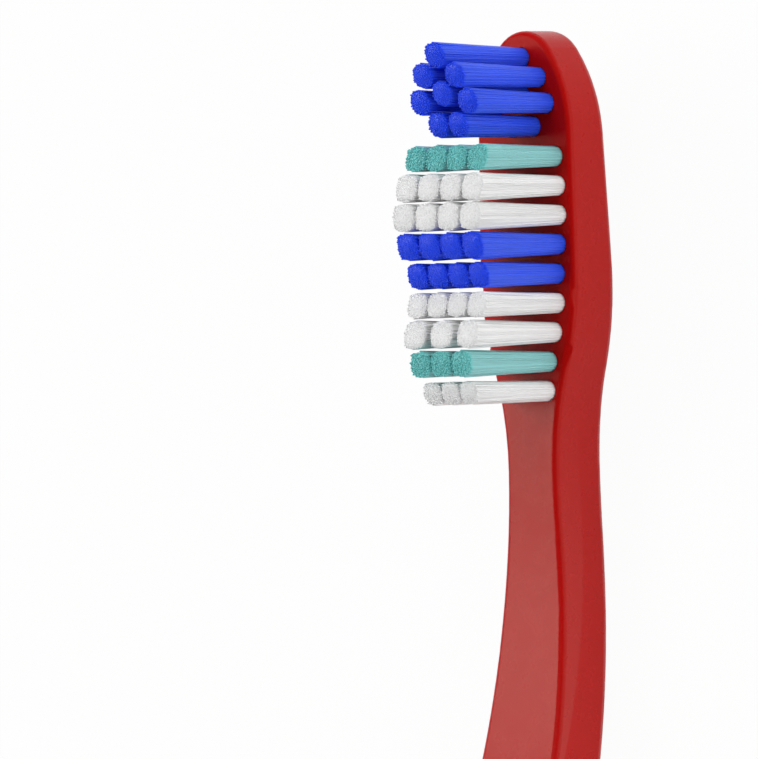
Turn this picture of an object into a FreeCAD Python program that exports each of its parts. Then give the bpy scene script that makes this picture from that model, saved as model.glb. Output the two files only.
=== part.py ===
import FreeCAD, Part
import itertools
import math
import os
import Sketcher

# A manual toothbrush lying on its back: X runs along the brush with the head at +X, Y is its width and
# the tufts point up. The origin is under its middle, on the surface that it lies on.
# Stations are measured along the brush from the tip of the head, and shares from the neck to the rear end.
# All lengths are millimetres.

DRIVING_SIZES = {
    # Side view of the head and neck: a flat face and a flat back that both bend level at the neck
    "brush_length": 190.0,
    "neck_station": 46.0,
    "neck_thickness": 5.8,
    "head_tilt": 5.2,
    "face_bend": 6.0,
    "back_tilt": 8.3,
    "back_bend": 16.0,
    # Side view of the handle: crests and hollows of its front and of its back
    "bump_share": 0.212,
    "bump_height": 9.4,
    "waist_share": 0.361,
    "waist_height": 6.6,
    "swell_share": 0.653,
    "swell_height": 7.8,
    "butt_height": 6.8,
    "arch_share": 0.21,
    "arch_height": 3.0,
    "rest_share": 0.43,
    # Plan: widths at the crests and hollows of the outline
    "nose_radius": 3.3,
    "shoulder_station": 8.5,
    "shoulder_step": 0.13,
    "crest_station": 19.0,
    "narrow_station": 35.2,
    "narrow_width": 5.25,
    "narrow_bend": 70.0,
    "palm_share": 0.5,
    "palm_width": 11.4,
    "butt_round": 9.0,
    "butt_width": 10.2,
    "butt_radius": 4.0,
    # Rounded edges of the front and of the back
    "face_radius": 0.5,
    "back_radius": 0.8,
    # Rubber grip in the back of the handle, with plain lands before and behind its grooves
    "grip_front_share": 0.1125,
    "grip_peak_share": 0.222,
    "grip_peak_height": 6.6,
    "grip_rear_share": 0.358,
    "front_land": 4.8,
    "rear_land": 5.35,
    "groove_radius": 0.55,
    # Tuft bores, and how far apart they stand along the head
    "bore_diameter": 1.7,
    "bore_depth": 3.2,
    "edge_margin": 0.695,
    "row_pitch": 2.34,
    "first_row_station": 10.12,
    # The egg-shaped cluster at the tip: one tuft in front, three pairs behind it and one in the middle
    "tip_front_station": 2.13,
    "tip_first_station": 3.75,
    "tip_first_spread": 3.4,
    "tip_second_station": 5.83,
    "tip_second_spread": 5.0,
    "tip_third_station": 7.66,
    "tip_third_spread": 2.1,
    "tip_middle_station": 5.18,
    "tip_lean": 1.1,
    # Metal plates that hold the tufts
    "plate_thickness": 0.28,
    "plate_height": 1.4,
    "plate_bite": 0.15,
    "plate_turn": 35.0,
    "fold_height": 0.6,
    # Tufts: fit in the bore, gap at the free ends and length at the tip
    "tuft_clearance": 0.02,
    "tuft_gap": 0.05,
    "tuft_length": 10.0,
    "tip_slant": -15.0,
    # Rows: pitch across the head, rise over the tufts at the tip, and slant of the trimmed ends
    "row1_pitch": 2.17,
    "row1_rise": -0.3,
    "row1_slant": 12.0,
    "row2_pitch": 2.31,
    "row2_rise": 0.6,
    "row2_slant": 10.0,
    "row3_pitch": 2.34,
    "row3_rise": 1.0,
    "row3_slant": 4.0,
    "row4_pitch": 2.27,
    "row4_rise": 0.7,
    "row4_slant": -12.0,
    "row5_pitch": 2.15,
    "row5_rise": -0.2,
    "row5_slant": -14.0,
    "row6_pitch": 2.1,
    "row6_rise": 0.0,
    "row6_slant": 12.0,
    "row7_pitch": 2.78,
    "row7_rise": 0.8,
    "row7_slant": 10.0,
    "row8_pitch": 2.17,
    "row8_rise": 1.0,
    "row8_slant": -4.0,
    "row9_pitch": 1.92,
    "row9_rise": -0.2,
    "row9_slant": -16.0,
}
TIP_PAIRS = ("first", "second", "third")
TUFTS_IN_ROW = (4, 4, 4, 4, 4, 4, 3, 3, 3)
WIDEST_ROW = 3
GROOVE_COUNT = 10
HEAD_PLACES = ("shoulder", "crest", "narrow", "neck")
HANDLE_PLACES = ("bump", "waist", "swell", "arch", "rest", "palm", "grip_front", "grip_peak", "grip_rear")
# The two outlines run this far past each other, so that each trims the other
STOCK = 2.0
# A face that points up or down by less than this is a wall
WALL_LIFT = 0.5

DOC = FreeCAD.newDocument("manual_toothbrush")
SHEET = DOC.addObject("Spreadsheet::Sheet", "Sizes")
WORKED = DOC.addObject("App::VarSet", "Worked")
UP = FreeCAD.Vector(0, 0, 1)
ACROSS = FreeCAD.Vector(0, 1, 0)
AHEAD = FreeCAD.Vector(1, 0, 0)


def fill_sheet():
    """Give every driving size a cell of its own, with its name as the alias."""
    for row, (name, number) in enumerate(DRIVING_SIZES.items(), start=1):
        SHEET.set(f"A{row}", name)
        SHEET.set(f"B{row}", str(number))
        SHEET.setAlias(f"B{row}", name)
    DOC.recompute()


def work_out(name, formula):
    """Keep a size that follows from the driving sizes under its own name."""
    WORKED.addProperty("App::PropertyFloat", name)
    WORKED.setExpression(name, formula)
    WORKED.recompute()


def is_worked(name):
    return name in WORKED.PropertiesList


def size(name):
    """The number behind a driving or a worked-out size."""
    return getattr(WORKED, name) if is_worked(name) else SHEET.get(name)


def bound(name):
    """The expression that binds a property to a driving or a worked-out size."""
    return f"Worked.{name}" if is_worked(name) else f"Sizes.{name}"


def work_out_stations():
    """Turn each station, measured from the tip, into a distance along X from the middle of the brush."""
    work_out("tip_overhang",
             "(Worked.face_tip_height - Worked.back_tip_height - Sizes.back_radius) * sin(Sizes.head_tilt)")
    work_out("tip_along", "Sizes.brush_length / 2 - Worked.tip_overhang")
    work_out("handle_run", "Sizes.brush_length - Sizes.neck_station")
    for place in HANDLE_PLACES:
        work_out(f"{place}_station", f"Sizes.neck_station + Sizes.{place}_share * Worked.handle_run")
    for place in (*HEAD_PLACES, *HANDLE_PLACES):
        work_out(f"{place}_along", f"Worked.tip_along - {bound(f'{place}_station')}")
    work_out("face_bend_along", "Worked.neck_along + Sizes.face_bend")
    work_out("back_bend_along", "Worked.neck_along + Sizes.back_bend")
    work_out("front_stock_along", f"Worked.tip_along + {STOCK}")
    work_out("rear_stock_along", f"-Sizes.brush_length / 2 - {STOCK}")


def work_out_heights():
    """Heights of the tilted face and back of the head, up to the tip and beyond it."""
    work_out("face_bend_height", "Sizes.neck_thickness + Sizes.face_bend * tan(Sizes.head_tilt / 2)")
    work_out("face_tip_height",
             "Worked.face_bend_height + (Sizes.neck_station - Sizes.face_bend) * tan(Sizes.head_tilt)")
    work_out("back_bend_height", "Sizes.back_bend * tan(Sizes.back_tilt / 2)")
    work_out("back_tip_height",
             "Worked.back_bend_height + (Sizes.neck_station - Sizes.back_bend) * tan(Sizes.back_tilt)")
    work_out("face_stock_height", f"Worked.face_tip_height + {STOCK} * tan(Sizes.head_tilt)")
    work_out("back_stock_height", f"Worked.back_tip_height + {STOCK} * tan(Sizes.back_tilt)")


def work_out_plan():
    """Half widths of the plan, and where it ends along the head's face, whose plane it is drawn on."""
    work_out("butt_along",
             "Worked.tip_along - (Worked.tip_along + Sizes.brush_length / 2) * cos(Sizes.head_tilt)"
             " - (Worked.face_tip_height - Sizes.butt_height + Sizes.face_radius) * sin(Sizes.head_tilt)")
    work_out("butt_round_along", "Worked.butt_along + Sizes.butt_round")
    outermost = f"{(TUFTS_IN_ROW[WIDEST_ROW - 1] - 1) / 2} * Sizes.row{WIDEST_ROW}_pitch"
    work_out("crest_half", f"{outermost} + Sizes.bore_diameter / 2 + Sizes.edge_margin")
    work_out("shoulder_half", "Worked.crest_half - Sizes.shoulder_step")
    for name in ("narrow", "palm", "butt"):
        work_out(f"{name}_half", f"Sizes.{name}_width / 2")
    work_out("stock_half", f"max(Worked.crest_half; Worked.palm_half) + {STOCK}")


class Outline:
    """A run of lines and level-ended arcs in one sketch, with every point bound to named sizes."""

    def __init__(self, sketch, side=1):
        self.sketch = sketch
        self.side = side
        self.names = None
        self.point = None
        self.end = None

    def locate(self, along, height):
        return FreeCAD.Vector(size(along), self.side * size(height) if height else 0, 0)

    def constrain(self, *arguments):
        return self.sketch.addConstraint(Sketcher.Constraint(*arguments))

    def bind(self, index, name, factor=1):
        self.sketch.setExpression(f"Constraints[{index}]", f"{factor} * {bound(name)}")

    def fix(self, end, along, height):
        """Hold a point at its named place, on the sketch's own axis where it has no height."""
        self.bind(self.constrain("DistanceX", -1, 1, *end, size(along)), along)
        if height:
            number = self.side * size(height)
            self.bind(self.constrain("DistanceY", -1, 1, *end, number), height, self.side)
        else:
            self.constrain("PointOnObject", *end, -1)

    def join(self, end):
        self.constrain("Coincident", *self.end, *end)

    def start(self, along, height):
        self.point = self.locate(along, height)
        self.names = (along, height)

    def begin_or_join(self, end):
        """Tie a new piece to the end of the run, or fix it where the run starts."""
        if self.end:
            self.join(end)
        else:
            self.fix(end, *self.names)

    def line_to(self, along, height):
        goal = self.locate(along, height)
        line = self.sketch.addGeometry(Part.LineSegment(self.point, goal), False)
        self.begin_or_join((line, 1))
        self.fix((line, 2), along, height)
        self.point, self.end = goal, (line, 2)

    def arc(self, centre, start, goal):
        """Add the arc of under half a turn, and give it with the ends that lie at start and goal."""
        first = math.atan2(start.y - centre.y, start.x - centre.x)
        last = math.atan2(goal.y - centre.y, goal.x - centre.x)
        turn = (last - first) % (2 * math.pi)
        circle = Part.Circle(centre, UP, (start - centre).Length)
        if turn < math.pi:
            index = self.sketch.addGeometry(Part.ArcOfCircle(circle, first, first + turn), False)
            return index, 1, 2
        index = self.sketch.addGeometry(Part.ArcOfCircle(circle, last, first + 2 * math.pi), False)
        return index, 2, 1

    def arc_to_level(self, along, height):
        """One arc that comes level at its goal."""
        goal = self.locate(along, height)
        rise = self.point.y - goal.y
        radius = ((self.point.x - goal.x) ** 2 + rise ** 2) / (2 * rise)
        index, near, far = self.arc(goal + FreeCAD.Vector(0, radius, 0), self.point, goal)
        self.begin_or_join((index, near))
        self.fix((index, far), along, height)
        self.constrain("Vertical", index, 3, index, far)
        self.point, self.end = goal, (index, far)

    def arc_from_level(self, along, height):
        """One arc that starts level and runs to its goal."""
        goal = self.locate(along, height)
        rise = goal.y - self.point.y
        radius = ((self.point.x - goal.x) ** 2 + rise ** 2) / (2 * rise)
        index, near, far = self.arc(self.point + FreeCAD.Vector(0, radius, 0), self.point, goal)
        self.begin_or_join((index, near))
        self.fix((index, far), along, height)
        self.constrain("Vertical", index, 3, index, near)
        self.point, self.end = goal, (index, far)

    def wave_to(self, along, height, first_radius=None):
        """Two arcs, level at both ends, that meet half way or where an arc of the first radius leads."""
        goal = self.locate(along, height)
        rise = goal.y - self.point.y
        both = ((goal.x - self.point.x) ** 2 + rise ** 2) / (2 * rise)
        first = math.copysign(size(first_radius), rise) if first_radius else both / 2
        middle = self.point + (goal - self.point) * (first / both)
        leaving, near, half = self.arc(self.point + FreeCAD.Vector(0, first, 0), self.point, middle)
        coming, other_half, far = self.arc(goal - FreeCAD.Vector(0, both - first, 0), middle, goal)
        self.begin_or_join((leaving, near))
        self.constrain("Tangent", leaving, half, coming, other_half)
        self.constrain("Vertical", leaving, 3, leaving, near)
        self.constrain("Vertical", coming, 3, coming, far)
        if first_radius:
            self.bind(self.constrain("Radius", leaving, size(first_radius)), first_radius)
        else:
            self.constrain("Equal", leaving, coming)
        self.fix((coming, far), along, height)
        self.point, self.end = goal, (coming, far)

    def nose_centres(self, tip, shoulder, radius):
        """Centres of the small arc round a tip on the axis and of the arc from it to a level shoulder."""
        inwards = math.copysign(1, shoulder.x - tip.x)
        small = tip + FreeCAD.Vector(inwards * radius, 0, 0)
        width = abs(shoulder.y)
        reach = abs(shoulder.x - small.x)
        large_radius = (reach ** 2 + width ** 2 - radius ** 2) / (2 * (width - radius))
        large = shoulder - FreeCAD.Vector(0, self.side * large_radius, 0)
        meeting = large + (small - large).normalize() * large_radius
        return small, large, meeting

    def hold_nose(self, index, radius):
        self.constrain("PointOnObject", index, 3, -1)
        self.bind(self.constrain("Radius", index, size(radius)), radius)

    def nose_to_shoulder(self, radius, along, height):
        """Start at a tip on the axis and round it, out to a level shoulder."""
        goal = self.locate(along, height)
        small, large, meeting = self.nose_centres(self.point, goal, size(radius))
        nose, near, half = self.arc(small, self.point, meeting)
        shoulder, other_half, far = self.arc(large, meeting, goal)
        self.begin_or_join((nose, near))
        self.hold_nose(nose, radius)
        self.constrain("Tangent", nose, half, shoulder, other_half)
        self.constrain("Vertical", shoulder, 3, shoulder, far)
        self.fix((shoulder, far), along, height)
        self.point, self.end = goal, (shoulder, far)

    def shoulder_to_nose(self, radius, along):
        """Round the other end, from a level shoulder in to a tip on the axis."""
        goal = self.locate(along, None)
        small, large, meeting = self.nose_centres(goal, self.point, size(radius))
        shoulder, near, half = self.arc(large, self.point, meeting)
        nose, other_half, far = self.arc(small, meeting, goal)
        self.join((shoulder, near))
        self.constrain("Vertical", shoulder, 3, shoulder, near)
        self.constrain("Tangent", shoulder, half, nose, other_half)
        self.hold_nose(nose, radius)
        self.fix((nose, far), along, None)
        self.point, self.end = goal, (nose, far)


def origin_plane(body, role):
    return next(plane for plane in body.Origin.OriginFeatures if plane.Role == role)


def new_sketch(body, name, role):
    sketch = body.newObject("Sketcher::SketchObject", name)
    sketch.AttachmentSupport = [(origin_plane(body, role), "")]
    sketch.MapMode = "FlatFace"
    return sketch


def draw_side_view(sketch):
    """Closed side view of the brush without its tufts, from the head along the back and round."""
    run = Outline(sketch)
    run.start("face_bend_along", "face_bend_height")
    run.line_to("front_stock_along", "face_stock_height")
    run.line_to("front_stock_along", "back_stock_height")
    run.line_to("back_bend_along", "back_bend_height")
    run.arc_to_level("neck_along", None)
    run.wave_to("arch_along", "arch_height")
    run.wave_to("rest_along", None)
    run.line_to("rear_stock_along", None)
    run.line_to("rear_stock_along", "butt_height")
    run.wave_to("swell_along", "swell_height")
    run.wave_to("waist_along", "waist_height")
    run.wave_to("bump_along", "bump_height")
    run.wave_to("neck_along", "neck_thickness")
    run.arc_from_level("face_bend_along", "face_bend_height")


def draw_plan(sketch):
    """Plan of the brush: the same outline on both sides of the axis."""
    for side in (1, -1):
        run = Outline(sketch, side)
        run.start("tip_along", None)
        run.nose_to_shoulder("nose_radius", "shoulder_along", "shoulder_half")
        run.wave_to("crest_along", "crest_half")
        run.wave_to("narrow_along", "narrow_half")
        run.wave_to("palm_along", "palm_half", "narrow_bend")
        run.wave_to("butt_round_along", "butt_half")
        run.shoulder_to_nose("butt_radius", "butt_along")


def make_pad(body, sketch, name, width):
    pad = body.newObject("PartDesign::Pad", name)
    pad.Profile = sketch
    pad.SideType = "Symmetric"
    pad.setExpression("Length", bound(width))
    return pad


def make_blank():
    """The brush's outer form before its edges are rounded. The plan stands square to the head's face."""
    work_out("stock_width", "2 * Worked.stock_half")
    work_out("stock_height", "Sizes.brush_length / 2")
    side = DOC.addObject("PartDesign::Body", "side_form")
    side_sketch = new_sketch(side, "side_view", "XZ_Plane")
    draw_side_view(side_sketch)
    make_pad(side, side_sketch, "side_pad", "stock_width")
    plan = DOC.addObject("PartDesign::Body", "plan_form")
    plan_sketch = new_sketch(plan, "plan", "XY_Plane")
    draw_plan(plan_sketch)
    make_pad(plan, plan_sketch, "plan_pad", "stock_height")
    plan.Placement = on_face(0, 0) * FreeCAD.Placement(-along_brush("tip_along"), FreeCAD.Rotation())
    blank = DOC.addObject("Part::MultiCommon", "blank")
    blank.Shapes = [side, plan]
    DOC.recompute()
    return blank


def face_kind(face):
    """front, back or wall, by the way that a face of the blank points."""
    first, last, low, high = face.ParameterRange
    lift = face.normalAt((first + last) / 2, (low + high) / 2).z
    if abs(lift) < WALL_LIFT:
        return "wall"
    return "front" if lift > 0 else "back"


def round_edges(blank):
    """Round the rims of the front and of the back, where they meet the walls."""
    rims = []
    for number, edge in enumerate(blank.Shape.Edges, start=1):
        kinds = {face_kind(face) for face in blank.Shape.ancestorsOfType(edge, Part.Face)}
        if len(kinds) == 2 and "wall" in kinds:
            radius = size("back_radius" if "back" in kinds else "face_radius")
            rims.append((number, radius, radius))
    rounded = DOC.addObject("Part::Fillet", "rounded_blank")
    rounded.Base = blank
    rounded.Edges = rims
    DOC.recompute()
    return rounded


def draw_grip_zone(sketch):
    """Side view of the space that the grip fills: an arch over the rest plane."""
    run = Outline(sketch)
    run.start("grip_front_along", None)
    run.arc_to_level("grip_peak_along", "grip_peak_height")
    run.arc_from_level("grip_rear_along", None)
    run.line_to("grip_front_along", None)


def make_grip_zone():
    zone = DOC.addObject("PartDesign::Body", "grip_zone")
    sketch = new_sketch(zone, "grip_arch", "XZ_Plane")
    draw_grip_zone(sketch)
    make_pad(zone, sketch, "grip_pad", "stock_width")
    return zone


def boolean(kind, name, base, tool):
    result = DOC.addObject(kind, name)
    result.Base = base
    result.Tool = tool
    return result


def compound(name, items):
    group = DOC.addObject("Part::Compound", name)
    group.Links = items
    return group


def cylinder(name, radius, height):
    """A cylinder whose radius and height are bound to expressions."""
    item = DOC.addObject("Part::Cylinder", name)
    item.setExpression("Radius", radius)
    item.setExpression("Height", height)
    return item


def box(name, length, width, height):
    """A box whose sides are bound to expressions."""
    item = DOC.addObject("Part::Box", name)
    item.setExpression("Length", length)
    item.setExpression("Width", width)
    item.setExpression("Height", height)
    return item


def wave_height(station, low, crest, crest_height):
    """Height of the back between a point on the rest plane and the crest of its arch."""
    span = abs(size(crest) - size(low))
    rise = size(crest_height)
    radius = (span ** 2 + rise ** 2) / (4 * rise)
    from_low = abs(station - size(low))
    if from_low < span / 2:
        return radius - math.sqrt(radius ** 2 - from_low ** 2)
    return rise - radius + math.sqrt(radius ** 2 - (span - from_low) ** 2)


def back_height(station):
    """Height of the brush's back over the rest plane, along the arch where the grip is."""
    low = "neck_station" if station < size("arch_station") else "rest_station"
    return wave_height(station, low, "arch_station", "arch_height")


def make_grooves():
    """Round grooves across the back of the grip, which leave its ribs standing between them."""
    work_out("first_groove_station", "Worked.grip_front_station + Sizes.front_land")
    work_out("groove_run", "Worked.grip_rear_station - Sizes.rear_land - Worked.first_groove_station")
    grooves = []
    lie_across = FreeCAD.Rotation(AHEAD, 90)
    for number in range(GROOVE_COUNT):
        station = size("first_groove_station") + number * size("groove_run") / (GROOVE_COUNT - 1)
        groove = cylinder(f"groove_{number + 1}", bound("groove_radius"), bound("stock_width"))
        end = FreeCAD.Vector(size("tip_along") - station, size("stock_half"), back_height(station))
        groove.Placement = FreeCAD.Placement(end, lie_across)
        grooves.append(groove)
    return compound("grooves", grooves)


def on_face(station, offset, lean=0):
    """Place on the head's flat face, with Z along a tuft that may lean to the tip."""
    tip = along_brush("tip_along") + UP * size("face_tip_height")
    face = FreeCAD.Placement(tip, FreeCAD.Rotation(ACROSS, -size("head_tilt")))
    foot = FreeCAD.Vector(-station, offset, 0)
    return face * FreeCAD.Placement(foot, FreeCAD.Rotation(ACROSS, lean))


def along_brush(name):
    return AHEAD * size(name)


def work_out_rows():
    """Length of each row, and the widest that its tufts may flare to."""
    for number in range(1, len(TUFTS_IN_ROW) + 1):
        work_out(f"row{number}_length", f"Sizes.tuft_length + Sizes.row{number}_rise")
        work_out(f"row{number}_flare", f"min(Sizes.row{number}_pitch; Sizes.row_pitch) - Sizes.tuft_gap")


def tip_places():
    """Station and offset of each tuft in the cluster at the tip, the middle one first."""
    places = [(size("tip_middle_station"), 0), (size("tip_front_station"), 0)]
    for pair in TIP_PAIRS:
        half = size(f"tip_{pair}_spread") / 2
        places += [(size(f"tip_{pair}_station"), half), (size(f"tip_{pair}_station"), -half)]
    return places


def tip_tufts():
    """The cluster at the tip: its tufts lean forwards, and one slanted plane trims them all."""
    places = tip_places()
    closest = min(math.dist(one, other) for one, other in itertools.combinations(places, 2))
    work_out("tip_flare", f"{closest} - Sizes.tuft_gap")
    for number, (station, offset) in enumerate(places, start=1):
        name = f"tuft_tip_{number}"
        behind = station - size("tip_middle_station")
        work_out(f"{name}_length", f"Sizes.tuft_length + {behind} * tan(Sizes.tip_slant)")
        yield name, f"{name}_length", "tip_slant", "tip_flare", on_face(station, offset, size("tip_lean"))


def row_tufts():
    """The straight rows, each with its own pitch, length and slant."""
    for row, count in enumerate(TUFTS_IN_ROW, start=1):
        station = size("first_row_station") + (row - 1) * size("row_pitch")
        for place in range(count):
            spot = on_face(station, (place - (count - 1) / 2) * size(f"row{row}_pitch"))
            yield f"tuft_row{row}_{place + 1}", f"row{row}_length", f"row{row}_slant", f"row{row}_flare", spot


def make_bore(name, place):
    """A blind bore from above the face down to its flat floor."""
    bore = cylinder(f"bore_{name}", "Sizes.bore_diameter / 2", "2 * Sizes.bore_depth")
    bore.Placement = place * FreeCAD.Placement(FreeCAD.Vector(0, 0, -size("bore_depth")), FreeCAD.Rotation())
    return bore


def make_plate(name, place):
    """The plate that holds one tuft, standing in the bore with both edges in its wall."""
    plate = box(f"plate_{name}", bound("plate_width"), bound("plate_thickness"), bound("plate_height"))
    corner = FreeCAD.Vector(-size("plate_width") / 2, -size("plate_thickness") / 2, 0)
    floor = FreeCAD.Vector(0, 0, size("fold_height") - size("bore_depth"))
    turned = FreeCAD.Placement(floor, FreeCAD.Rotation(UP, size("plate_turn")))
    plate.Placement = place * turned * FreeCAD.Placement(corner, FreeCAD.Rotation())
    return plate


def make_tuft(name, length, slant, flare, place, plate):
    """A bundle that fills its bore, flares to its free end and is trimmed on a slant there."""
    foot = "(Sizes.bore_diameter / 2 - Sizes.tuft_clearance)"
    stem = cylinder(f"stem_{name}", foot, bound("bore_depth"))
    stem.Placement = place * FreeCAD.Placement(FreeCAD.Vector(0, 0, -size("bore_depth")), FreeCAD.Rotation())
    brush = DOC.addObject("Part::Cone", f"brush_{name}")
    height = f"({bound(length)} + {bound(flare)})"
    brush.setExpression("Radius1", foot)
    brush.setExpression("Radius2", f"{foot} + ({bound(flare)} / 2 - {foot}) * {height} / {bound(length)}")
    brush.setExpression("Height", height)
    brush.Placement = place
    block = f"2 * {bound(flare)}"
    trim = box(f"trim_{name}", block, block, block)
    corner = FreeCAD.Vector(-size(flare), -size(flare), 0)
    top = FreeCAD.Placement(FreeCAD.Vector(0, 0, size(length)), FreeCAD.Rotation(ACROSS, size(slant)))
    trim.Placement = place * top * FreeCAD.Placement(corner, FreeCAD.Rotation())
    whole = boolean("Part::Fuse", f"whole_{name}", stem, brush)
    folded = boolean("Part::Cut", f"folded_{name}", whole, plate)
    return boolean("Part::Cut", name, folded, trim)


def check_and_write(nodes):
    """Stop on any failed object or bad solid, then write one file for each piece."""
    DOC.recompute()
    failed = [item.Name for item in DOC.Objects if {"Invalid", "Error"} & set(item.State)]
    if failed:
        raise RuntimeError(f"these objects failed: {failed}")
    for node in nodes:
        if node.Shape.isNull() or not node.Shape.isValid():
            raise RuntimeError(f"{node.Label} has no valid shape")
    os.makedirs("parts", exist_ok=True)
    for node in nodes:
        node.Shape.exportStep(f"parts/{node.Label}.step")


def main():
    fill_sheet()
    work_out_heights()
    work_out_stations()
    work_out_plan()
    work_out_rows()
    work_out("plate_width", "Sizes.bore_diameter + 2 * Sizes.plate_bite")

    rounded = round_edges(make_blank())
    zone = make_grip_zone()
    grip = boolean("Part::Cut", "grip", boolean("Part::Common", "grip_blank", rounded, zone), make_grooves())
    hollowed = boolean("Part::Cut", "hollowed_handle", rounded, zone)

    tufts = []
    bores = []
    plates = []
    for name, length, slant, flare, place in [*tip_tufts(), *row_tufts()]:
        bores.append(make_bore(name, place))
        plates.append(make_plate(name, place))
        tufts.append(make_tuft(name, length, slant, flare, place, plates[-1]))
    anchors = compound("anchors", plates)
    bored = boolean("Part::Cut", "bored_handle", hollowed, compound("bores", bores))
    handle = boolean("Part::Cut", "handle", bored, anchors)
    check_and_write([handle, grip, anchors, *tufts])


main()
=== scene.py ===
import math

import bmesh
import bpy
from mathutils import Matrix, Vector


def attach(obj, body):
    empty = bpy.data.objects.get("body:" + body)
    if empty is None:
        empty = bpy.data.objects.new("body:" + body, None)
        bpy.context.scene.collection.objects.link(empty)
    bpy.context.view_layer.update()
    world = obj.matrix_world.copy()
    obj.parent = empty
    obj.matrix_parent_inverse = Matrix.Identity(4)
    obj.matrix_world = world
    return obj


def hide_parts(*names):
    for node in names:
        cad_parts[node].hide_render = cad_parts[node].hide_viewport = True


# A manual toothbrush lying on its back, seen close up at its head. All lengths are metres.
# X runs along the brush with the head at +X, Y is its width and the tufts point up.

MM = 0.001
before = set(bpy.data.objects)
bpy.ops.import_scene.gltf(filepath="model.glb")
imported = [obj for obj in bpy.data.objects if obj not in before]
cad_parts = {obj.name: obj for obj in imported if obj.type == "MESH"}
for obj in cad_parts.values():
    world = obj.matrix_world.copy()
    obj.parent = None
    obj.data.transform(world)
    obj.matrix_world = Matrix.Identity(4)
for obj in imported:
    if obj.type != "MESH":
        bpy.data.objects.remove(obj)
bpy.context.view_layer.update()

# The flat face of the head, which carries the tufts
HEAD_TILT = math.radians(5.2)
FACE_TIP = Vector((94.694, 0, 9.713)) * MM
TOWARDS_TIP = Vector((math.cos(HEAD_TILT), 0, math.sin(HEAD_TILT)))
OFF_FACE = Vector((-math.sin(HEAD_TILT), 0, math.cos(HEAD_TILT)))
ACROSS = Vector((0, 1, 0))

# Camera: a long lens that looks at the head from the side and from above
PICTURE_SIDE = 759
PIXELS_PER_METRE = 12500
LENS_DISTANCE = 1.2
SENSOR = 36
LOOK_DOWN = math.radians(41)
BRUSH_LEAN = math.radians(1.384)
# Point of the face level with the middle of the picture, and how far the brush lies aside from that middle
FACE_AIM = FACE_TIP - TOWARDS_TIP * (27.6 * MM)
AIM_ASIDE = 11.985 * MM

# Parting line of the mould on the sides of the neck: lowest at one station, and rising both ways from it
PARTING_STATION = 41.5 * MM
PARTING_HEIGHT = 3.2 * MM
PARTING_BEND = 0.0095 / MM
PARTING_EDGE = 0.1 * MM

# Specular level of the plastic, and stations from the tip: where its sides take a painted sheen of stronger
# reflection, and where its face, whose weaker reflection is painted shade, ends
PLAIN_SPECULAR = 0.2
PAINTED_SHEEN_SPECULAR = 0.42
FACE_SHADE_SPECULAR = 0.06
PAINTED_SHEEN_START = 29 * MM
PAINTED_SHEEN_FULL = 58 * MM
FACE_SHADE_FULL = 27 * MM
FACE_SHADE_END = 29.5 * MM

# Stage
FLOOR_GLOW = 0.96
FLOOR_HALF = 6
FLOOR_DROP = 0.03 * MM
FLOOR_CORNERS = ((-1, -1), (1, -1), (1, 1), (-1, 1))
CEILING = 0.12

# Bristles
BORE_DEPTH = 3.2 * MM
RING_BAND = 0.1 * MM
STRANDS = 240
STRAND_RADIUS = 0.075 * MM
STRAND_SIDES = 6
# Rings of one strand, each with its level and its share of the radius.
# Level 0 is the bore's floor, 1 its mouth and 2 the free end.
STRAND_RINGS = ((0, 1), (1, 1), (1.5, 1), (1.994, 1), (1.998, 0.9), (2, 0.7))
# Free ends: how far they are wider than the solid's, pressed square by their neighbours, bent and domed
FLUFF_ALONG = 1.03
FLUFF_ACROSS = 1.05
TIP_SQUARENESS = 0.15
ROW_SQUARENESS = 0.42
SWAY = 0.06 * MM
DOME = 0.19 * MM
# Strands are set on a spiral by the golden angle, each a little off its place
GOLDEN_TURN = math.pi * (3 - math.sqrt(5))
INMOST_SHARE = 0.97
TURN_OFF = 0.02
# The body inside the strands
CORE_SIDES = 32
CORE_RINGS = 4
CORE_SHARE = 0.96
# The middle of that body has no direction, so the reckoning of its corners stops short of it
LEAST_OUT = 0.001
LEAST_NEAREST = 0.5

BLUE = "blue_nylon"
TEAL = "teal_nylon"
WHITE = "white_nylon"
ROW_NYLON = (TEAL, WHITE, WHITE, BLUE, BLUE, WHITE, WHITE, TEAL, WHITE)
# Where the colour of the cut end starts, which is painted light and shade on the ends, and how much darker or
# lighter single strands are
PAINTED_END_START = 0.97
STRAND_SHADES = (0.88, 1.1)
# How unevenly the free ends are cut
RAGGED = {BLUE: 0.045 * MM, TEAL: 0.14 * MM, WHITE: 0.02 * MM}


class Wiring:
    """A node tree in the making. An input is given as a number or colour, or as the socket that feeds it."""

    def __init__(self, tree):
        self.tree = tree

    def feed(self, socket, source):
        if isinstance(source, bpy.types.NodeSocket):
            self.tree.links.new(source, socket)
        else:
            socket.default_value = source

    def node(self, kind, inputs=None, **settings):
        node = self.tree.nodes.new(kind)
        for name, setting in settings.items():
            setattr(node, name, setting)
        for name, source in (inputs or {}).items():
            self.feed(node.inputs[name], source)
        return node

    def math(self, operation, *sources):
        node = self.node("ShaderNodeMath", operation=operation)
        for socket, source in zip(node.inputs, sources):
            self.feed(socket, source)
        return node.outputs[0]

    def random(self, low, high, seed):
        node = self.node("FunctionNodeRandomValue", data_type="FLOAT")
        node.inputs[2].default_value = low
        node.inputs[3].default_value = high
        self.feed(node.inputs["Seed"], seed)
        return node.outputs[1]

    def keep(self, geometry, name, source):
        """Store a number on every point under a name."""
        inputs = {"Geometry": geometry, "Name": name, "Value": source}
        node = self.node("GeometryNodeStoreNamedAttribute", inputs, data_type="FLOAT", domain="POINT")
        return node.outputs[0]

    def kept(self, name):
        return self.node("GeometryNodeInputNamedAttribute", {"Name": name}, data_type="FLOAT").outputs[0]


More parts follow.
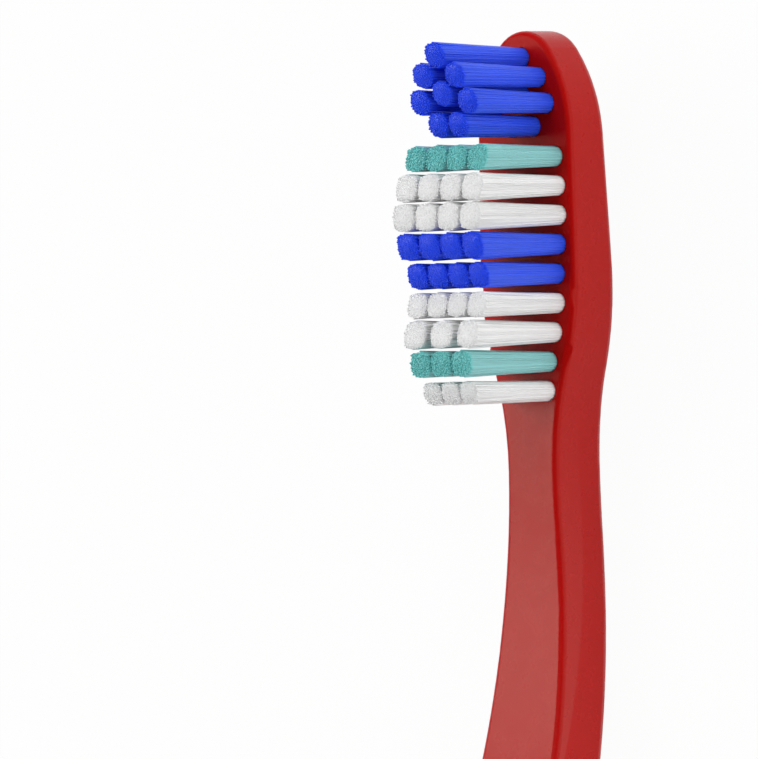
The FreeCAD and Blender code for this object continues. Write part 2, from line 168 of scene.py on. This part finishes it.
def bristle_tree():
    """The tree that makes one tuft: strands that stand close in a bore and spread to a trimmed free end."""
    tree = bpy.data.node_groups.new("bristles", "GeometryNodeTree")
    sockets = {
        "Strand": "Object", "Strands": "Int", "Strand radius": "Float", "Foot radius": "Float",
        "End along": "Float", "End across": "Float", "Bore depth": "Float", "Length": "Float",
        "Slope": "Float", "Squareness": "Float", "Dome": "Float", "Ragged": "Float", "Sway": "Float",
        "Seed": "Int", "Nylon": "Material",
    }
    for name, kind in sockets.items():
        tree.interface.new_socket(name, in_out="INPUT", socket_type=f"NodeSocket{kind}")
    tree.interface.new_socket("Tuft", in_out="OUTPUT", socket_type="NodeSocketGeometry")
    wire = Wiring(tree)
    given = wire.node("NodeGroupInput").outputs
    seed = given["Seed"]

    # Strands spread evenly over a disc, each with its own small differences
    index = wire.node("GeometryNodeInputIndex").outputs[0]
    share = wire.math("SQRT", wire.math("DIVIDE", wire.math("ADD", index, 0.5), given["Strands"]))
    share = wire.math("MULTIPLY", share, wire.random(INMOST_SHARE, 1.0, seed))
    turn_off = wire.random(-TURN_OFF, TURN_OFF, wire.math("ADD", seed, 1))
    turn = wire.math("MULTIPLY_ADD", index, GOLDEN_TURN, turn_off)
    cosine, sine = wire.math("COSINE", turn), wire.math("SINE", turn)
    roundness = wire.math("MULTIPLY", given["Squareness"], -1)

    def out_squared(along, across):
        return wire.math("MULTIPLY_ADD", along, along, wire.math("MULTIPLY", across, across))

    def corner_of(along, across):
        """Share by which a direction reaches further out of the squared end than of a round one."""
        nearest = wire.math("MAXIMUM", wire.math("ABSOLUTE", along), wire.math("ABSOLUTE", across))
        out = wire.math("MAXIMUM", wire.math("SQRT", out_squared(along, across)), LEAST_OUT)
        nearest = wire.math("MAXIMUM", wire.math("DIVIDE", nearest, out), LEAST_NEAREST)
        return wire.math("SUBTRACT", wire.math("POWER", nearest, roundness), 1)

    strands = wire.node("GeometryNodePoints", {"Count": given["Strands"]}).outputs[0]
    strands = wire.keep(strands, "spot_x", wire.math("MULTIPLY", share, cosine))
    strands = wire.keep(strands, "spot_y", wire.math("MULTIPLY", share, sine))
    strands = wire.keep(strands, "corner", corner_of(cosine, sine))
    strands = wire.keep(strands, "bend_x", wire.random(-1, 1, wire.math("ADD", seed, 2)))
    strands = wire.keep(strands, "bend_y", wire.random(-1, 1, wire.math("ADD", seed, 3)))
    strands = wire.keep(strands, "short", wire.random(0, 1, wire.math("ADD", seed, 4)))
    strands = wire.keep(strands, "tone", wire.random(0, 1, wire.math("ADD", seed, 5)))
    strand = wire.node("GeometryNodeObjectInfo", {"Object": given["Strand"]}).outputs["Geometry"]
    placed = wire.node("GeometryNodeInstanceOnPoints", {"Points": strands, "Instance": strand}).outputs[0]
    bundle = wire.node("GeometryNodeRealizeInstances", {"Geometry": placed}).outputs[0]

    # Each strand stands straight in the bore, then leans out to its own place at the free end
    position = wire.node("GeometryNodeInputPosition").outputs[0]
    spot = wire.node("ShaderNodeSeparateXYZ", {"Vector": position}).outputs
    in_bore = wire.math("MINIMUM", spot["Z"], 1)
    free = wire.math("MAXIMUM", wire.math("SUBTRACT", spot["Z"], 1), 0)
    foot = wire.math("SUBTRACT", given["Foot radius"], given["Strand radius"])
    end = {}
    spread = {}
    for axis, name in (("x", "End along"), ("y", "End across")):
        end[axis] = wire.math("SUBTRACT", given[name], given["Strand radius"])
        spread[axis] = wire.math("MULTIPLY_ADD", free, wire.math("SUBTRACT", end[axis], foot), foot)
    sway = wire.math("MULTIPLY", given["Sway"], wire.math("POWER", free, 3))

    def reach(axis, corner):
        """Distance out to the rim along one axis, in a direction with this much of a corner."""
        pressed = wire.math("MULTIPLY", wire.math("MULTIPLY", corner, free), end[axis])
        return wire.math("ADD", spread[axis], pressed)

    def lift(along, cut):
        """Height of a point, from its place over the slanted trim and from what is cut off there."""
        trim = wire.math("MULTIPLY", wire.math("MULTIPLY", along, end["x"]), given["Slope"])
        length = wire.math("SUBTRACT", wire.math("ADD", given["Length"], trim), cut)
        return wire.math("MULTIPLY_ADD", in_bore, given["Bore depth"], wire.math("MULTIPLY", free, length))

    def move(geometry, along, across, height):
        place = wire.node("ShaderNodeCombineXYZ", {"X": along, "Y": across, "Z": height}).outputs[0]
        return wire.node("GeometryNodeSetPosition", {"Geometry": geometry, "Position": place}).outputs[0]

    places = []
    for axis in ("x", "y"):
        centre = wire.math("MULTIPLY", wire.kept(f"spot_{axis}"), reach(axis, wire.kept("corner")))
        centre = wire.math("MULTIPLY_ADD", wire.kept(f"bend_{axis}"), sway, centre)
        places.append(wire.math("MULTIPLY_ADD", spot[axis.upper()], given["Strand radius"], centre))
    cut = wire.math("MULTIPLY", wire.kept("short"), given["Ragged"])
    cut = wire.math("MULTIPLY_ADD", out_squared(wire.kept("spot_x"), wire.kept("spot_y")), given["Dome"], cut)
    along = wire.math("MULTIPLY", wire.kept("spot_x"), wire.math("ADD", wire.kept("corner"), 1))
    bundle = move(wire.keep(bundle, "along", free), *places, lift(along, cut))

    # The strands inside stand so close that they make one body, which ends just below the shortest tips
    inputs = {
        "Vertices": CORE_SIDES, "Side Segments": 2, "Fill Segments": CORE_RINGS, "Radius": 1, "Depth": 2,
    }
    core = wire.node("GeometryNodeMeshCylinder", inputs, fill_type="TRIANGLE_FAN").outputs["Mesh"]
    core = wire.node("GeometryNodeTransform", {"Geometry": core, "Translation": (0, 0, 1)}).outputs[0]
    core = wire.keep(wire.keep(core, "along", free), "tone", 0.5)
    corner = corner_of(spot["X"], spot["Y"])
    places = []
    for axis in ("x", "y"):
        rim = wire.math("MULTIPLY", reach(axis, corner), CORE_SHARE)
        places.append(wire.math("MULTIPLY", spot[axis.upper()], rim))
    along = wire.math("MULTIPLY", spot["X"], wire.math("ADD", corner, 1))
    cut = wire.math("MULTIPLY_ADD", out_squared(spot["X"], spot["Y"]), given["Dome"], given["Ragged"])
    core = move(core, *places, lift(along, cut))
    both = wire.node("GeometryNodeJoinGeometry")
    for part in (core, bundle):
        wire.feed(both.inputs[0], part)
    bundle = wire.node("GeometryNodeSetShadeSmooth", {"Geometry": both.outputs[0]}).outputs[0]
    bundle = wire.node("GeometryNodeSetMaterial", {"Geometry": bundle, "Material": given["Nylon"]}).outputs[0]
    wire.node("NodeGroupOutput", {"Tuft": bundle})
    return tree


def make_strand():
    """One strand of unit radius, ring by ring, with a rounded free end."""
    mesh = bpy.data.meshes.new("strand")
    shape = bmesh.new()
    rings = []
    for level, radius in STRAND_RINGS:
        turns = [2 * math.pi * side / STRAND_SIDES for side in range(STRAND_SIDES)]
        rings.append([shape.verts.new((radius * math.cos(t), radius * math.sin(t), level)) for t in turns])
    for low, high in zip(rings, rings[1:]):
        for side in range(STRAND_SIDES):
            after = (side + 1) % STRAND_SIDES
            shape.faces.new((low[side], low[after], high[after], high[side]))
    shape.faces.new(reversed(rings[0]))
    shape.faces.new(rings[-1])
    shape.to_mesh(mesh)
    shape.free()
    return add(bpy.data.objects.new("strand", mesh))


def add(item):
    bpy.context.scene.collection.objects.link(item)
    return item


def middle_of(points):
    """Middle of the box round some points."""
    return Vector([(min(axis) + max(axis)) / 2 for axis in zip(*points)])


def measure_tuft(node):
    """Place of a tuft's bore floor, and the radii, length and slope of its end, read from the CAD solid."""
    tilt = Matrix.Rotation(-HEAD_TILT, 4, "Y")
    points = [tilt.inverted() @ corner.co for corner in node.data.vertices]
    floor = min(point.z for point in points)
    foot = middle_of([point for point in points if point.z < floor + RING_BAND])
    mouth = middle_of([point for point in points if abs(point.z - floor - BORE_DEPTH) < RING_BAND])
    lean = Vector((0, 0, 1)).rotation_difference(mouth - foot).to_matrix().to_4x4()
    place = tilt @ Matrix.Translation(foot) @ lean

    points = [place.inverted() @ corner.co for corner in node.data.vertices]
    ring = [point.y for point in points if point.z < RING_BAND]
    end = [point for point in points if point.z > BORE_DEPTH + MM]
    low, high = min(end, key=lambda point: point.x), max(end, key=lambda point: point.x)
    slope = (high.z - low.z) / (high.x - low.x)
    end_radius = (max(point.y for point in end) - min(point.y for point in end)) / 2
    sizes = {
        "Foot radius": (max(ring) - min(ring)) / 2,
        "End along": FLUFF_ALONG * end_radius,
        "End across": FLUFF_ACROSS * end_radius,
        "Length": low.z - slope * low.x - BORE_DEPTH,
        "Slope": slope,
    }
    return place, sizes


def make_tuft(tree, strand, name, slot, material, seed):
    """A bundle of strands in the place of one CAD tuft."""
    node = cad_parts[name]
    place, sizes = measure_tuft(node)
    tuft = add(bpy.data.objects.new(f"{name}_bristles", bpy.data.meshes.new(f"{name}_bristles")))
    work = tuft.modifiers.new("bristles", "NODES")
    work.node_group = tree
    inputs = {
        "Strand": strand, "Strands": STRANDS, "Strand radius": STRAND_RADIUS, "Bore depth": BORE_DEPTH,
        "Squareness": TIP_SQUARENESS if "tip" in name else ROW_SQUARENESS, "Dome": DOME,
        "Ragged": RAGGED[slot], "Sway": SWAY, "Seed": seed, "Nylon": material, **sizes,
    }
    for item in tree.interface.items_tree:
        if item.in_out == "INPUT":
            work[item.identifier] = inputs[item.name]
    view = bpy.context.evaluated_depsgraph_get()
    mesh = bpy.data.meshes.new_from_object(tuft.evaluated_get(view))
    tuft.modifiers.clear()
    mesh.transform(place)
    mesh.name = f"{name}_bristles"
    tuft.data = mesh
    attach(tuft, "root")
    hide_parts(name)
    return tuft


def new_material(name):
    material = bpy.data.materials.new(name)
    material.use_nodes = True
    material.node_tree.nodes.clear()
    return material, Wiring(material.node_tree)


def finish_material(wire, surface):
    wire.node("ShaderNodeOutputMaterial", {"Surface": surface.outputs[0]})


def mix_colours(wire, share, first, second):
    node = wire.node("ShaderNodeMix", data_type="RGBA")
    wire.feed(node.inputs["Factor"], share)
    wire.feed(node.inputs[6], first)
    wire.feed(node.inputs[7], second)
    return node.outputs[2]


def graded(wire, source, low, high, to_low, to_high, steps="LINEAR"):
    inputs = {"Value": source, "From Min": low, "From Max": high, "To Min": to_low, "To Max": to_high}
    return wire.node("ShaderNodeMapRange", inputs, interpolation_type=steps).outputs[0]


def noise(wire, scale, detail=2.0):
    place = wire.node("ShaderNodeTexCoord").outputs["Object"]
    return wire.node("ShaderNodeTexNoise", {"Vector": place, "Scale": scale, "Detail": detail}).outputs[0]


def bump(wire, height, strength, distance):
    inputs = {"Height": height, "Strength": strength, "Distance": distance}
    return wire.node("ShaderNodeBump", inputs).outputs[0]


def nylon(name, side, end):
    """Glossy nylon strands, each a little lighter or darker, with cut ends in a second colour that paints
    light and shade on the ends.
    """
    material, wire = new_material(f"{name}_strands")
    along = wire.node("ShaderNodeAttribute", attribute_name="along").outputs["Fac"]
    tone = wire.node("ShaderNodeAttribute", attribute_name="tone").outputs["Fac"]
    colour = mix_colours(wire, graded(wire, along, PAINTED_END_START, 1.0, 0, 1, "SMOOTHSTEP"), side, end)
    shade = graded(wire, tone, 0, 1, *STRAND_SHADES)
    colour = wire.node("ShaderNodeHueSaturation", {"Color": colour, "Value": shade}).outputs[0]
    finish_material(wire, wire.node("ShaderNodeBsdfPrincipled", {"Base Color": colour, "Roughness": 0.4}))
    return material


def red_plastic():
    """Smooth moulded plastic, with weaker reflection on the face between the tufts as painted shade, and
    stronger reflection above the parting line on its sides as a painted sheen.
    """
    material, wire = new_material("red_plastic_moulded")
    place = wire.node("ShaderNodeTexCoord").outputs["Object"]
    spot = wire.node("ShaderNodeSeparateXYZ", {"Vector": place}).outputs
    normal = wire.node("ShaderNodeNewGeometry").outputs["Normal"]
    facing = wire.node("ShaderNodeSeparateXYZ", {"Vector": normal}).outputs
    station = wire.math("SUBTRACT", FACE_TIP.x, spot["X"])

    # Painted sheen: the sides of the neck above the parting line get a higher specular level, which paints a
    # lighter band there
    from_low = wire.math("SUBTRACT", station, PARTING_STATION)
    parting = wire.math("MULTIPLY_ADD", wire.math("POWER", from_low, 2), PARTING_BEND, PARTING_HEIGHT)
    above = graded(wire, wire.math("SUBTRACT", spot["Z"], parting), 0, PARTING_EDGE, 0, 1)
    on_side = graded(wire, wire.math("ABSOLUTE", facing["Y"]), 0.9, 0.98, 0, 1)
    on_neck = graded(wire, station, PAINTED_SHEEN_START, PAINTED_SHEEN_FULL, 0, 1)
    painted_sheen = wire.math("MULTIPLY", wire.math("MULTIPLY", above, on_side), on_neck)
    # Painted shade: the face of the head near the tip gets a low specular level, which darkens it between the
    # tufts
    on_face = graded(wire, facing["Z"], 0.4, 0.9, 0, 1)
    painted_face_shade = wire.math("MULTIPLY", on_face, graded(wire, station, FACE_SHADE_FULL, FACE_SHADE_END, 1, 0))
    level = graded(wire, painted_sheen, 0, 1, PLAIN_SPECULAR, PAINTED_SHEEN_SPECULAR)
    level = wire.math("ADD", level, graded(wire, painted_face_shade, 0, 1, 0, FACE_SHADE_SPECULAR - PLAIN_SPECULAR))

    colour = mix_colours(wire, noise(wire, 90), (0.47, 0.0035, 0.003, 1), (0.5, 0.004, 0.0035, 1))
    gloss = graded(wire, noise(wire, 700, 4), 0.3, 0.7, 0.26, 0.3)
    skin = bump(wire, noise(wire, 1500), 0.02, 0.006 * MM)
    inputs = {
        "Base Color": colour, "Roughness": gloss, "Normal": skin,
        "Specular IOR Level": level, "Specular Tint": (1, 0.92, 0.78, 1),
    }
    finish_material(wire, wire.node("ShaderNodeBsdfPrincipled", inputs))
    return material


def grey_rubber():
    """Matt pale rubber with a fine grain."""
    material, wire = new_material("grey_rubber_grained")
    colour = mix_colours(wire, noise(wire, 400, 3), (0.58, 0.58, 0.58, 1), (0.64, 0.64, 0.64, 1))
    grain = bump(wire, noise(wire, 9000, 3), 0.3, 0.05 * MM)
    inputs = {"Base Color": colour, "Roughness": 0.62, "Normal": grain}
    finish_material(wire, wire.node("ShaderNodeBsdfPrincipled", inputs))
    return material


def plate_metal():
    """Rolled nickel silver of the small plates that hold the tufts."""
    material, wire = new_material("anchor_metal_rolled")
    colour = mix_colours(wire, noise(wire, 3000), (0.62, 0.58, 0.48, 1), (0.7, 0.66, 0.56, 1))
    gloss = graded(wire, noise(wire, 6000), 0.3, 0.7, 0.25, 0.4)
    inputs = {"Base Color": colour, "Metallic": 1.0, "Roughness": gloss}
    finish_material(wire, wire.node("ShaderNodeBsdfPrincipled", inputs))
    return material


def make_floor():
    """A wide white floor, white too where it shows in gloss, that keeps a faint shadow."""
    mesh = bpy.data.meshes.new("floor")
    corner_places = [(x * FLOOR_HALF, y * FLOOR_HALF, -FLOOR_DROP) for x, y in FLOOR_CORNERS]
    mesh.from_pydata(corner_places, [], [(0, 1, 2, 3)])
    floor = add(bpy.data.objects.new("floor", mesh))
    material, wire = new_material("white_floor")
    ray = wire.node("ShaderNodeLightPath").outputs
    mirrored = wire.math("MAXIMUM", ray["Is Glossy Ray"], ray["Is Transmission Ray"])
    seen = wire.math("MAXIMUM", ray["Is Camera Ray"], mirrored)
    paper = wire.node("ShaderNodeBsdfDiffuse", {"Color": (0.9, 0.9, 0.9, 1)})
    glow = wire.node("ShaderNodeEmission", {"Color": (1, 1, 1, 1), "Strength": 1.0})
    both = wire.node("ShaderNodeMixShader", {"Fac": wire.math("MULTIPLY", seen, FLOOR_GLOW)})
    wire.feed(both.inputs[1], paper.outputs[0])
    wire.feed(both.inputs[2], glow.outputs[0])
    finish_material(wire, both)
    mesh.materials.append(material)


def make_world():
    """A studio with a white surround at the height of the table and a dim ceiling."""
    world = bpy.data.worlds.new("studio")
    world.use_nodes = True
    world.node_tree.nodes.clear()
    wire = Wiring(world.node_tree)
    direction = wire.node("ShaderNodeTexCoord").outputs["Generated"]
    rise = wire.node("ShaderNodeSeparateXYZ", {"Vector": direction}).outputs["Z"]
    strength = graded(wire, rise, 0.15, 0.4, 1.0, CEILING)
    light = wire.node("ShaderNodeBackground", {"Color": (1, 1, 1, 1), "Strength": strength})
    wire.node("ShaderNodeOutputWorld", {"Surface": light.outputs[0]})
    bpy.context.scene.world = world


def softbox(name, direction, distance, side, watts, glossy):
    """A square soft lamp that faces the brush, seen in reflections or not."""
    lamp = bpy.data.lights.new(name, "AREA")
    lamp.shape = "SQUARE"
    lamp.size = side
    lamp.energy = watts
    item = add(bpy.data.objects.new(name, lamp))
    item.location = FACE_AIM + direction.normalized() * distance
    item.rotation_euler = direction.to_track_quat("Z", "Y").to_euler()
    item.visible_camera = False
    item.visible_glossy = glossy


def make_lights():
    """A lamp that the neck mirrors, two fills that no gloss shows, and one that lights the floor."""
    neck_mirror = OFF_FACE * math.cos(LOOK_DOWN) + ACROSS * math.sin(LOOK_DOWN) + TOWARDS_TIP * 0.17
    over_tip = OFF_FACE + TOWARDS_TIP * 0.9
    beside_head = -ACROSS + OFF_FACE * 0.12
    softbox("left_softbox", neck_mirror, distance=0.9, side=0.5, watts=3.8, glossy=True)
    softbox("top_fill", over_tip, distance=1.0, side=0.8, watts=3.5, glossy=False)
    softbox("side_fill", beside_head, distance=0.9, side=0.8, watts=4.1, glossy=False)
    lamp = bpy.data.lights.new("floor_light", "SPOT")
    lamp.energy = 38
    lamp.spot_size = math.radians(48)
    lamp.spot_blend = 0.3
    lamp.shadow_soft_size = 0.05
    item = add(bpy.data.objects.new("floor_light", lamp))
    item.location = FACE_AIM - ACROSS * 0.45 + Vector((0, 0, 0.9))
    item.visible_glossy = False


def make_camera():
    """A long lens at the photograph's angle, with the head's tip up and the brush right of the middle."""
    towards_lens = OFF_FACE * math.cos(LOOK_DOWN) - ACROSS * math.sin(LOOK_DOWN)
    square_right = -ACROSS * math.cos(LOOK_DOWN) - OFF_FACE * math.sin(LOOK_DOWN)
    right = square_right * math.cos(BRUSH_LEAN) - TOWARDS_TIP * math.sin(BRUSH_LEAN)
    up = TOWARDS_TIP * math.cos(BRUSH_LEAN) + square_right * math.sin(BRUSH_LEAN)
    aim = FACE_AIM - square_right * AIM_ASIDE
    lens = bpy.data.cameras.new("camera")
    lens.sensor_width = SENSOR
    lens.lens = SENSOR * LENS_DISTANCE * PIXELS_PER_METRE / PICTURE_SIDE
    lens.clip_start = 0.05
    lens.clip_end = 20
    camera = add(bpy.data.objects.new("camera", lens))
    turn = Matrix((right, up, towards_lens)).transposed()
    camera.matrix_world = Matrix.Translation(aim + towards_lens * LENS_DISTANCE) @ turn.to_4x4()
    bpy.context.scene.camera = camera


def dress_node(name, material):
    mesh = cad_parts[name].data
    mesh.materials.clear()
    mesh.materials.append(material)


def make_tufts():
    nylons = {
        # The second colour of each nylon is painted light and shade on the cut ends: lighter for white, and
        # more saturated for blue and teal
        BLUE: nylon(BLUE, (0.028, 0.1, 0.89, 1), (0.005, 0.063, 0.96, 1)),
        TEAL: nylon(TEAL, (0.295, 0.655, 0.655, 1), (0.2, 0.67, 0.66, 1)),
        WHITE: nylon(WHITE, (0.9, 0.9, 0.9, 1), (0.93, 0.93, 0.93, 1)),
    }
    tree = bristle_tree()
    strand = make_strand()
    for seed, name in enumerate(sorted(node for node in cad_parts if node.startswith("tuft_"))):
        kind = BLUE if "tip" in name else ROW_NYLON[int(name[len("tuft_row")]) - 1]
        make_tuft(tree, strand, name, kind, nylons[kind], 10 * seed)
    bpy.data.objects.remove(strand)


make_camera()
make_floor()
make_world()
make_lights()
dress_node("handle", red_plastic())
dress_node("grip", grey_rubber())
dress_node("anchors", plate_metal())
make_tufts()
bpy.context.scene.view_settings.view_transform = "Standard"
